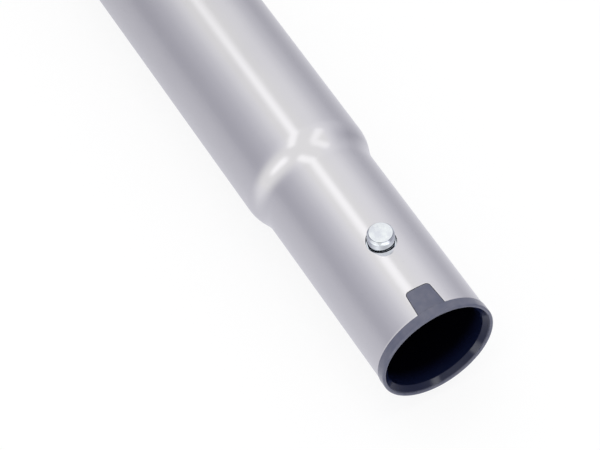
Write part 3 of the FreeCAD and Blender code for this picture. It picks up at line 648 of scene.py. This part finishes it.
def make_outer_tube():
    """The outer tube as one sheet over (x, angle from +Z), with fans of points round its openings,
    and a wall grown inwards."""
    back, front = reach("outer_tube", 0)
    large = reach("outer_tube", 2)[1]
    step = 2 * math.pi / AROUND
    angles = (np.arange(AROUND + 1) - AROUND // 4) * step
    swage_back = SWAGE_FRONT - SWAGE_LENGTH
    notch_back, button_half, lug_half = front - 12 * MM, 6.0 * MM, 5.0 * MM
    xs = lines_between([
        (back, ROLLER_X - WINDOW_HALF_LENGTH, 10 * MM),
        (ROLLER_X - WINDOW_HALF_LENGTH, ROLLER_X + WINDOW_HALF_LENGTH, 3 * MM),
        (LUG_X - lug_half, LUG_X + lug_half, 1 * MM),
        (LUG_X + lug_half, swage_back - 6 * MM, 40 * MM),
        (swage_back - 6 * MM, swage_back, 1.5 * MM),
        (swage_back, SWAGE_FRONT, 0.25 * MM),
        (SWAGE_FRONT, SWAGE_FRONT + 4 * MM, 1 * MM),
        (SWAGE_FRONT + 4 * MM, BUTTON_X - button_half, 6 * MM),
        (BUTTON_X - button_half, BUTTON_X + button_half, 0.75 * MM),
        (BUTTON_X + button_half, notch_back, 5 * MM),
        (notch_back, front, 0.6 * MM),
    ])
    top_half, below_half = 11 * step, 8 * step

    def place(x, angle):
        radius = tube_radius_at(x, large, SPIGOT_RADIUS)
        return np.stack([x + 0 * angle, radius * np.sin(angle), radius * np.cos(angle)], axis=-1)

    top = within(angles, 0.0, top_half)
    below = within(angles, math.pi, below_half)
    button = within(xs, BUTTON_X, button_half)
    notch = slice(within(xs, notch_back, 0.0).start, len(xs))
    lug = within(xs, LUG_X, lug_half)
    window = within(xs, ROLLER_X, WINDOW_HALF_LENGTH)
    window_top = within(angles, 0.0, WINDOW_HALF_ANGLE)
    left_out = np.zeros((len(xs) - 1, AROUND), bool)
    for rows, columns in ((button, top), (notch, top), (lug, below), (window, window_top)):
        leave_out(left_out, rows, columns)
    fans = [
        round_opening(xs[button], angles[top], BUTTON_X, 0.0, BUTTON_HOLE_RADIUS, SPIGOT_RADIUS),
        notch_opening(xs[notch], angles[top]),
        round_opening(xs[lug], angles[below], LUG_X, math.pi, LUG_HOLE_RADIUS, large),
    ]
    sheets = [(place(xs[:, None], angles[None, :]), left_out)]
    sheets += [(place(f[..., 0], f[..., 1]), None) for f in fans]
    tube = add_piece("swaged_tube", joined_mesh("swaged_tube", sheets), finishes["tube_metal"], "outer",
                     "outer_tube")
    walled(tube, TUBE_WALL, -1, RIM_BEVEL)


# Inner tube


def make_inner_tube():
    """The inner tube as one sheet over (x, v): v is the angle from +Z on the round part, and between the
    groove's edges it runs over the pressed section (edge arc, wall, foot arc, floor). The floor drops by
    a circle of the trough's radius at each notch."""
    back, front = reach("inner_tube", 0)
    radius = reach("inner_tube", 1)[1]
    edge_y = GROOVE_HALF_WIDTH + GROOVE_EDGE
    edge_z = math.sqrt(radius ** 2 - edge_y ** 2)
    edge_v = math.asin(edge_y / radius)
    quarter = np.linspace(0, 90, 4) * DEGREE
    shoulder = np.stack([edge_y - GROOVE_EDGE * np.sin(quarter),
                         edge_z - GROOVE_EDGE + GROOVE_EDGE * np.cos(quarter)])
    foot = np.stack([GROOVE_HALF_WIDTH - GROOVE_EDGE + GROOVE_EDGE * np.cos(quarter),
                     GROOVE_FLOOR + GROOVE_EDGE - GROOVE_EDGE * np.sin(quarter)])
    half = np.concatenate([shoulder, foot], axis=1)
    floor_y = np.linspace(half[0, -1], 0, 7)[1:]
    half = np.concatenate([half, np.stack([floor_y, np.full_like(floor_y, GROOVE_FLOOR)])], axis=1)
    sinks = np.concatenate([np.zeros(4), np.ones(half.shape[1] - 4)])
    section_y = np.concatenate([half[0], -half[0, -2::-1]])
    section_z = np.concatenate([half[1], half[1, -2::-1]])
    section_sinks = np.concatenate([sinks, sinks[-2::-1]])
    section_v = np.linspace(edge_v, -edge_v, len(section_y))
    round_v = np.linspace(-edge_v, edge_v - 2 * math.pi, 97)
    vs = np.concatenate([section_v, round_v[1:]])[::-1]

    notch_xs = ROLLER_X + NOTCH_PITCH * np.arange(NOTCH_COUNT)
    chord = math.sqrt(TROUGH_RADIUS ** 2 - (ROLLER_Z - GROOVE_FLOOR) ** 2)
    across = np.concatenate([[-chord - GROOVE_EDGE], chord * np.linspace(-1, 1, 9), [chord + GROOVE_EDGE]])
    pin_half = 4.0 * MM
    lines = [np.concatenate([x + across for x in notch_xs])]
    for end in GROOVE_ENDS:
        lines.append(end + GROOVE_EDGE * np.array([-1, 1]))
    for x in (PIN_X, STUD_X):
        lines.append(x + np.linspace(-pin_half, pin_half, 9))
    lines.append(lines_between([(back, PIN_X - pin_half, 6 * MM), (STUD_X + pin_half, front, 3 * MM)]))
    xs = np.unique(np.round(np.concatenate(lines), 8))

    def place(x, v):
        y, z = radius * np.sin(v), radius * np.cos(v)
        inside = np.abs(v) <= edge_v
        nearest = np.min(np.abs(x[..., None] - notch_xs), axis=-1)
        trough = ROLLER_Z - np.sqrt(np.clip(TROUGH_RADIUS ** 2 - nearest ** 2, 0, None))
        dip = np.clip(GROOVE_FLOOR - trough, 0, None)
        low_y = np.interp(v, section_v[::-1], section_y[::-1])
        low_z = (np.interp(v, section_v[::-1], section_z[::-1])
                 - dip * np.interp(v, section_v[::-1], section_sinks[::-1]))
        cut = inside & (x > GROOVE_ENDS[0]) & (x < GROOVE_ENDS[1])
        return np.stack([x + 0 * v, np.where(cut, low_y, y), np.where(cut, low_z, z)], axis=-1)

    left_out = np.zeros((len(xs) - 1, len(vs) - 1), bool)
    fans = []
    for x in (PIN_X, STUD_X):
        rows = within(xs, x, pin_half)
        for side in (-0.5 * math.pi, -1.5 * math.pi):
            columns = within(vs, side, 13 * DEGREE)
            leave_out(left_out, rows, columns)
            fans.append(round_opening(xs[rows], vs[columns], x, side, PIN_HOLE_RADIUS, radius))
    sheets = [(place(xs[:, None] + 0 * vs[None, :], vs[None, :] + 0 * xs[:, None]), left_out)]
    sheets += [(place(f[..., 0], f[..., 1]), None) for f in fans]
    tube = add_piece("notched_tube", joined_mesh("notched_tube", sheets), finishes["tube_metal"], "inner",
                     "inner_tube")
    walled(tube, INNER_WALL, -1, RIM_BEVEL)


# Snap button, its leaf spring and the slider's coil springs

BUTTON_RADIUS = 3.9 * MM
BUTTON_BEVEL = 0.55 * MM
BUTTON_GROOVE = 0.2 * MM
BUTTON_FLANGE = 1.0 * MM
BUTTON_TAIL_RADIUS = 1.2 * MM
LEAF_THICKNESS = 0.5 * MM
LEAF_LIP = 5.6 * MM
RIVET_X = sum(corner[0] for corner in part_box("spring_rivet")) / 2
RIVET_HOLE_RADIUS = 1.25 * MM
TAIL_HOLE_RADIUS = 1.25 * MM
COIL_WIRE_RADIUS = 0.3 * MM
COIL_TURNS = 6


def make_button():
    """The button as a profile of (radius, z) corners turned about its axis: tail, flange, side, a fine
    groove, a bevel and a flat top."""
    low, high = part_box("snap_button")
    flange_radius = (high[0] - low[0]) / 2
    flange_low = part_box("button_spring")[1][2]
    profile = rounded_profile([
        (0, low[2], 0), (BUTTON_TAIL_RADIUS, low[2], 0.15 * MM), (BUTTON_TAIL_RADIUS, flange_low, 0),
        (flange_radius, flange_low, 0.1 * MM), (flange_radius, flange_low + BUTTON_FLANGE, 0.2 * MM),
        (BUTTON_RADIUS, flange_low + BUTTON_FLANGE, 0),
        (BUTTON_RADIUS, BUTTON_EDGE_Z - 2 * BUTTON_GROOVE, 0.04 * MM),
        (BUTTON_RADIUS - BUTTON_GROOVE, BUTTON_EDGE_Z - BUTTON_GROOVE, 0),
        (BUTTON_RADIUS, BUTTON_EDGE_Z, 0.06 * MM),
        (BUTTON_RADIUS - BUTTON_BEVEL, BUTTON_TOP_Z, 0.1 * MM), (0, BUTTON_TOP_Z, 0),
    ])
    button = add_piece("polished_button", turned_mesh("polished_button", profile, BUTTON_X),
                       finishes["button_metal"], "button", "snap_button")
    finished_mesh(button, 50 * DEGREE)


def make_leaf_spring():
    """The flat strip over (x, y), with holes for the rivet and the button's tail. Its lip drops as a
    parabola."""
    low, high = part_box("button_spring")
    middle = high[2] - LEAF_THICKNESS / 2
    drop = high[2] - low[2] - LEAF_THICKNESS
    rivet_half, tail_half = 2.2 * MM, 2.2 * MM
    xs = lines_between([
        (low[0], RIVET_X - rivet_half, 1 * MM), (RIVET_X - rivet_half, RIVET_X + rivet_half, 0.55 * MM),
        (RIVET_X + rivet_half, BUTTON_X - tail_half, 1 * MM),
        (BUTTON_X - tail_half, BUTTON_X + tail_half, 0.55 * MM),
        (BUTTON_X + tail_half, high[0], 0.6 * MM),
    ])
    ys = np.linspace(low[1], high[1], 17)
    columns = within(ys, 0.0, 2.0 * MM)
    left_out = np.zeros((len(xs) - 1, len(ys) - 1), bool)

    def place(x, y):
        dip = drop * np.clip((x - high[0] + LEAF_LIP) / LEAF_LIP, 0, None) ** 2
        return np.stack([x + 0 * y, y + 0 * x, middle - dip + 0 * y], axis=-1)

    fans = []
    for centre, half, radius in ((RIVET_X, rivet_half, RIVET_HOLE_RADIUS),
                                 (BUTTON_X, tail_half, TAIL_HOLE_RADIUS)):
        rows = within(xs, centre, half)
        leave_out(left_out, rows, columns)
        outer = rectangle_path(xs[rows], ys[columns])
        turn = np.arctan2(outer[:, 1], outer[:, 0] - centre)
        inner = np.stack([centre + radius * np.cos(turn), radius * np.sin(turn)], axis=1)
        sheet = fan(inner, outer, 3)
        fans.append(np.concatenate([sheet, sheet[:, :1]], axis=1))
    sheets = [(place(xs[:, None], ys[None, :]), left_out)]
    sheets += [(place(f[..., 0], f[..., 1]), None) for f in fans]
    leaf = add_piece("leaf_spring", joined_mesh("leaf_spring", sheets), finishes["spring_metal"], None,
                     "button_spring")
    walled(leaf, LEAF_THICKNESS, 0, 0.06 * MM)
    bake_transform(leaf)


def make_coil_springs():
    """Two coils: a round wire carried along a helix about X, whose first and last turns lie closer."""
    low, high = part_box("slider_springs")
    centre_z = (low[2] + high[2]) / 2
    mean = (high[2] - low[2]) / 2 - COIL_WIRE_RADIUS
    centre_y = high[1] - mean - COIL_WIRE_RADIUS
    share = np.linspace(0, 1, COIL_TURNS * 40 + 1)
    turn = 2 * math.pi * COIL_TURNS * share
    rise = share - 0.07 * np.sin(2 * math.pi * share)
    start, length = low[0] + COIL_WIRE_RADIUS, high[0] - low[0] - 2 * COIL_WIRE_RADIUS
    round_wire = np.linspace(0, 2 * math.pi, 13)
    ends = np.concatenate([[0.0], np.full(len(share), 1.0), [0.0]])
    turn, rise = (np.concatenate([values[:1], values, values[-1:]]) for values in (turn, rise))
    spread_out = mean + COIL_WIRE_RADIUS * ends[:, None] * np.cos(round_wire)
    along = start + length * rise[:, None] + COIL_WIRE_RADIUS * ends[:, None] * np.sin(round_wire)
    sheets = []
    for side in (-1, 1):
        y = side * centre_y + spread_out * np.cos(turn)[:, None]
        z = centre_z + spread_out * np.sin(turn)[:, None]
        sheets.append((np.stack([along, y, z], axis=-1), None))
    coils = add_piece("coil_springs", joined_mesh("coil_springs", sheets), finishes["spring_metal"], "outer",
                      "slider_springs")
    finished_mesh(coils, 60 * DEGREE)
    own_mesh(coils)


# The deck's front slope as two points (x, z), and the two wall strips that lie just under it
DECK_SLOPE = ((-468.0 * MM, 27.2 * MM), (-459.0 * MM, 17.3 * MM))
STRIP_X = (-466.1 * MM, -464.7 * MM)
STRIP_Y = (3.6 * MM, 9.1 * MM)
STRIP_DEPTH = (0.33 * MM, 0.03 * MM)


def make_slope_strips():
    """Two flat strips that close the housing's wall where the slider's channel comes nearest to the deck's
    front slope: boxes whose long faces lie parallel to the slope, one on each side of the middle."""
    (back, top), (front, foot) = DECK_SLOPE
    fall = (foot - top) / (front - back)
    outwards = np.array([-fall, 0.0, 1.0]) / math.hypot(fall, 1.0)
    points = []
    for side in (-1, 1):
        for y in sorted(side * edge for edge in STRIP_Y):
            for depth in STRIP_DEPTH:
                points += [np.array([x, y, top + fall * (x - back)]) - depth * outwards for x in STRIP_X]
    box_faces = [(0, 1, 3, 2), (4, 6, 7, 5), (0, 4, 5, 1), (2, 3, 7, 6), (0, 2, 6, 4), (1, 5, 7, 3)]
    faces = [tuple(start + corner for corner in face) for start in (0, 8) for face in box_faces]
    mesh = bpy.data.meshes.new("slope_strips")
    mesh.from_pydata([tuple(point) for point in points], [], faces)
    add_piece("slope_strips", mesh, finishes["housing_plastic"], "outer", None)


# Thumb pad

PAD_CORNER = 3.2 * MM
PAD_HEIGHT = 2.0 * MM
PAD_RIB_WIDTH = 1.5 * MM
PAD_RIB_PITCH = 3.4 * MM
PAD_RIBS = 6
PAD_RIB_INSET = 1.5 * MM
PAD_EDGE = 0.55 * MM
RIB_SLOPE = 0.35 * MM


def smooth(value):
    """From 0 to 1 with level ends: 3 v squared less 2 v cubed, held past both ends."""
    value = np.clip(value, 0, 1)
    return value * value * (3 - 2 * value)


def make_thumb_pad():
    """A rounded plate over (x, share of the half width): its rim rolls over as a quarter ellipse, and
    cross ribs rise from it with smoothly stepped flanks."""
    low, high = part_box("thumb_pad")
    middle, half_length, half_width = (low[0] + high[0]) / 2, (high[0] - low[0]) / 2, high[1]
    rib_height = high[2] - low[2] - PAD_HEIGHT
    share = np.sin(np.linspace(-90, 90, 33) * DEGREE)
    x = np.linspace(-half_length, half_length, 197)[:, None]
    past = np.clip(np.abs(x) - (half_length - PAD_CORNER), 0, None)
    limit = half_width - PAD_CORNER + np.sqrt(np.clip(PAD_CORNER ** 2 - past ** 2, 0, None))
    y = share[None, :] * limit
    corner_x, corner_y = half_length - PAD_CORNER, half_width - PAD_CORNER
    reach_x, reach_y = np.clip(np.abs(x) - corner_x, 0, None), np.clip(np.abs(y) - corner_y, 0, None)
    to_rim = PAD_CORNER - np.hypot(reach_x, reach_y)
    roll = 1 - np.sqrt(np.clip(1 - np.clip(1 - to_rim / PAD_EDGE, 0, 1) ** 2, 0, 1))
    rib_centres = (np.arange(PAD_RIBS) - (PAD_RIBS - 1) / 2) * PAD_RIB_PITCH
    to_rib = np.min(np.abs(x[..., None] - rib_centres), axis=-1)
    rib = smooth((PAD_RIB_WIDTH / 2 - to_rib) / RIB_SLOPE + 0.5)
    rib = rib * smooth((half_width - PAD_RIB_INSET - np.abs(y)) / RIB_SLOPE + 0.5)
    top = low[2] + PAD_HEIGHT - PAD_EDGE * roll + rib_height * rib
    x = x + 0 * y + middle
    upper = np.stack([x, y, top], axis=-1)
    lower = np.stack([x, y, np.full_like(x, low[2])], axis=-1)

    def border(sheet):
        return np.concatenate([sheet[:, 0], sheet[-1, 1:], sheet[-2::-1, -1], sheet[0, -2::-1]])

    skirt = np.stack([border(upper), border(lower)])
    pad = add_piece("ribbed_pad", joined_mesh("ribbed_pad", [(upper, None), (lower, None), (skirt, None)]),
                    finishes["pad_rubber"], "slider", "thumb_pad")
    finished_mesh(pad, 45 * DEGREE)


make_outer_tube()
make_inner_tube()
make_button()
make_leaf_spring()
make_coil_springs()
make_slope_strips()
make_thumb_pad()

# Floor, lights and camera

FLOOR_WIDTH = 6.0
FLOOR_DROP = 0.05 * MM


def make_floor():
    """A white floor under the housing's flat. The camera sees it as nearly white with a weak shadow."""
    height = cad_box[0][2] - FLOOR_DROP
    half = FLOOR_WIDTH / 2
    mesh = bpy.data.meshes.new("floor")
    corners = [(-half, -half, height), (half, -half, height), (half, half, height), (-half, half, height)]
    mesh.from_pydata(corners, [], [(0, 1, 2, 3)])
    floor = bpy.data.objects.new("floor", mesh)
    bpy.context.scene.collection.objects.link(floor)
    material = bpy.data.materials.new("floor_white")
    material.use_nodes = True
    tree = material.node_tree
    tree.nodes.clear()
    rays = new_node(tree, "LightPath").outputs
    paper = new_node(tree, "BsdfDiffuse", {"Color": (0.95, 0.95, 0.95, 1.0)})
    glow = new_node(tree, "Emission", {"Color": (1.0, 1.0, 1.0, 1.0), "Strength": 1.0})
    seen = new_node(tree, "Math", {0: rays["Is Camera Ray"], 1: 0.85}, operation="MULTIPLY")
    mirrored = new_node(tree, "Math", {0: rays["Is Glossy Ray"], 1: 0.95}, operation="MULTIPLY")
    clear = new_node(tree, "BsdfTransparent")
    lit = new_node(tree, "MixShader", {0: seen.outputs[0], 1: paper.outputs[0], 2: glow.outputs[0]})
    both = new_node(tree, "MixShader", {0: mirrored.outputs[0], 1: lit.outputs[0], 2: clear.outputs[0]})
    tree.links.new(both.outputs[0], new_node(tree, "OutputMaterial").inputs["Surface"])
    mesh.materials.append(material)


# Studio brightness towards the wand's two ends: (degrees from straight up, turning towards -Y; brightness)
BEHIND = [(-180, 0.72), (-146, 0.74), (-122, 0.67), (-98, 0.56), (-80, 0.66), (-62, 0.8), (-46, 0.94),
          (-24, 0.99), (0, 1.04), (16, 0.99), (30, 0.84), (46, 0.69), (62, 0.59), (82, 0.54), (106, 0.63),
          (142, 0.71), (180, 0.72)]
AHEAD = [(-180, 0.66), (-140, 0.58), (-98, 0.43), (-80, 0.53), (-62, 0.72), (-48, 0.93), (-34, 1.06),
         (-16, 1.12), (20, 1.12), (42, 1.04), (70, 1.05), (94, 0.99), (118, 0.9), (150, 0.78), (180, 0.66)]
BLEND_REACH = (-0.45, 0.03)
DIMMING_REACH = (-0.53, -0.64)
DIMMED = 0.86
FRONT_DIMMING_REACH = (0.5, 0.62)
FRONT_DIMMED = 0.8
FRONT_LIGHT_REACH = (0.8, 0.88)
FRONT_LIGHT = 0.55
COOLNESS = 0.18


def add_tent(tree, angle, levels):
    """A soft ramp of studio brightness round the wand's axis. Its dimmer parts are slightly cooler."""
    ramp = new_node(tree, "ValToRGB", {"Fac": angle})
    ramp.color_ramp.interpolation = "CARDINAL"
    stops = ramp.color_ramp.elements
    while len(stops) > 1:
        stops.remove(stops[-1])
    for number, (degrees, bright) in enumerate(levels):
        position = 0.5 + degrees / 360
        stop = stops[0] if number == 0 else stops.new(position)
        stop.position = position
        cool = 1 + COOLNESS * (1.15 - bright)
        stop.color = (bright, bright, bright * cool, 1.0)
    return ramp.outputs["Color"]


def towards(ahead, sideways):
    """A direction from its angle ahead of the cross plane and its angle from straight up towards -Y."""
    ahead, sideways = ahead * DEGREE, sideways * DEGREE
    return Vector((math.sin(ahead), -math.cos(ahead) * math.sin(sideways),
                   math.cos(ahead) * math.cos(sideways)))


def soft_panel(tree, direction, start, end, width, fade, extra):
    """Extra light of the tent along the great circle from start to end. It is full within a quarter of the
    width from that line, and falls to nothing at the width, and over the fade past each end."""
    first, last = towards(*start), towards(*end)
    line = first.cross(last).normalized()
    middle, half = (first + last).normalized(), first.angle(last) / 2
    aside = new_node(tree, "VectorMath", {0: direction, 1: line}, operation="DOT_PRODUCT")
    distance = new_node(tree, "Math", {0: aside.outputs["Value"]}, operation="ABSOLUTE")
    sides = (math.sin(width * DEGREE / 4), math.sin(width * DEGREE))
    across = between(tree, distance.outputs[0], sides, extra, 0.0, "SMOOTHSTEP")
    along = new_node(tree, "VectorMath", {0: direction, 1: middle}, operation="DOT_PRODUCT")
    tips = (math.cos(half + fade * DEGREE), math.cos(half))
    ends = between(tree, along.outputs["Value"], tips, kind="SMOOTHSTEP")
    both = new_node(tree, "Math", {0: across, 1: ends}, operation="MULTIPLY")
    return both.outputs[0]


# Soft panels: start and end (degrees ahead, degrees sideways), width, fade past the ends, brightness
PANELS = [
    ((-31, -3.5), (-6, 12.5), 11, 8, 0.29),
    ((-44, -9), (-35, -5.5), 9, 6, 0.16),
    ((-13, -39), (10, -21.5), 10.5, 7, 0.22),
    ((15, 38), (15, 62), 15, 14, 0.34),
    ((49, -36), (51, -24), 8, 5, 3.3),
    ((44, 84), (37, 100), 9, 6, 3.6),
]


def make_world():
    """A white tent round the wand: bright overhead, with dimmer sides, another set of sides ahead of the
    nozzle than behind it, and a few soft panels. The camera sees plain white past the floor."""
    world = bpy.data.worlds.new("studio")
    world.use_nodes = True
    tree = world.node_tree
    tree.nodes.clear()
    direction = new_node(tree, "TexCoord").outputs["Generated"]
    parts = new_node(tree, "SeparateXYZ", {0: direction})
    sideways = new_node(tree, "Math", {0: parts.outputs["Y"], 1: -1.0}, operation="MULTIPLY")
    angle = new_node(tree, "Math", {0: sideways.outputs[0], 1: parts.outputs["Z"]}, operation="ARCTAN2")
    share = between(tree, angle.outputs[0], (-math.pi, math.pi))
    x = parts.outputs["X"]
    ahead = between(tree, x, BLEND_REACH, kind="SMOOTHSTEP")
    colour = mixed_colour(tree, ahead, add_tent(tree, share, BEHIND), add_tent(tree, share, AHEAD))
    for reached, dimmed in ((DIMMING_REACH, DIMMED), (FRONT_DIMMING_REACH, FRONT_DIMMED)):
        share_left = between(tree, x, reached, 1.0, dimmed)
        colour = new_node(tree, "VectorMath", {0: colour, 1: share_left}, operation="MULTIPLY").outputs[0]
    extras = [between(tree, x, FRONT_LIGHT_REACH, 0.0, FRONT_LIGHT)]
    for extra in extras + [soft_panel(tree, direction, *panel) for panel in PANELS]:
        colour = new_node(tree, "VectorMath", {0: colour, 1: extra}, operation="ADD").outputs[0]
    tent = new_node(tree, "Background", {"Color": colour, "Strength": 1.0})
    plain = new_node(tree, "Background", {"Color": (1.0, 1.0, 1.0, 1.0), "Strength": 1.0})
    camera_ray = new_node(tree, "LightPath").outputs["Is Camera Ray"]
    both = new_node(tree, "MixShader", {0: camera_ray, 1: tent.outputs[0], 2: plain.outputs[0]})
    tree.links.new(both.outputs[0], new_node(tree, "OutputWorld").inputs["Surface"])
    bpy.context.scene.world = world


SOFTBOX_WIDTH = 1.6
SOFTBOX_PLACE = Vector((-0.1, -0.3, 2.2))
SOFTBOX_WATTS = 9.0


def make_softbox():
    """One wide lamp overhead for the dull surfaces and the shadow on the floor. Polished metal shows the
    tent instead, so the lamp stays out of its reflections."""
    lamp = bpy.data.lights.new("softbox", "AREA")
    lamp.size = SOFTBOX_WIDTH
    lamp.energy = SOFTBOX_WATTS
    softbox = bpy.data.objects.new("softbox", lamp)
    softbox.location = SOFTBOX_PLACE
    softbox.visible_glossy = False
    bpy.context.scene.collection.objects.link(softbox)


def make_camera():
    """Looks from its place to its aim, with a small roll about the line of sight."""
    data = bpy.data.cameras.new("camera")
    data.lens = CAMERA_LENS
    data.sensor_width = 36.0
    data.sensor_fit = "HORIZONTAL"
    data.clip_start, data.clip_end = 0.01, 100.0
    camera = bpy.data.objects.new("camera", data)
    bpy.context.scene.collection.objects.link(camera)
    ahead = (CAMERA_AIM - CAMERA_PLACE).normalized()
    level = ahead.cross(Vector((0, 0, 1))).normalized()
    above = level.cross(ahead)
    right = level * math.cos(CAMERA_ROLL) + above * math.sin(CAMERA_ROLL)
    up = above * math.cos(CAMERA_ROLL) - level * math.sin(CAMERA_ROLL)
    turned = Matrix((right, up, -ahead)).transposed().to_4x4()
    camera.matrix_world = Matrix.Translation(CAMERA_PLACE) @ turned
    bpy.context.scene.camera = camera


make_floor()
make_world()
make_softbox()
make_camera()
bpy.context.scene.view_settings.view_transform = "Standard"
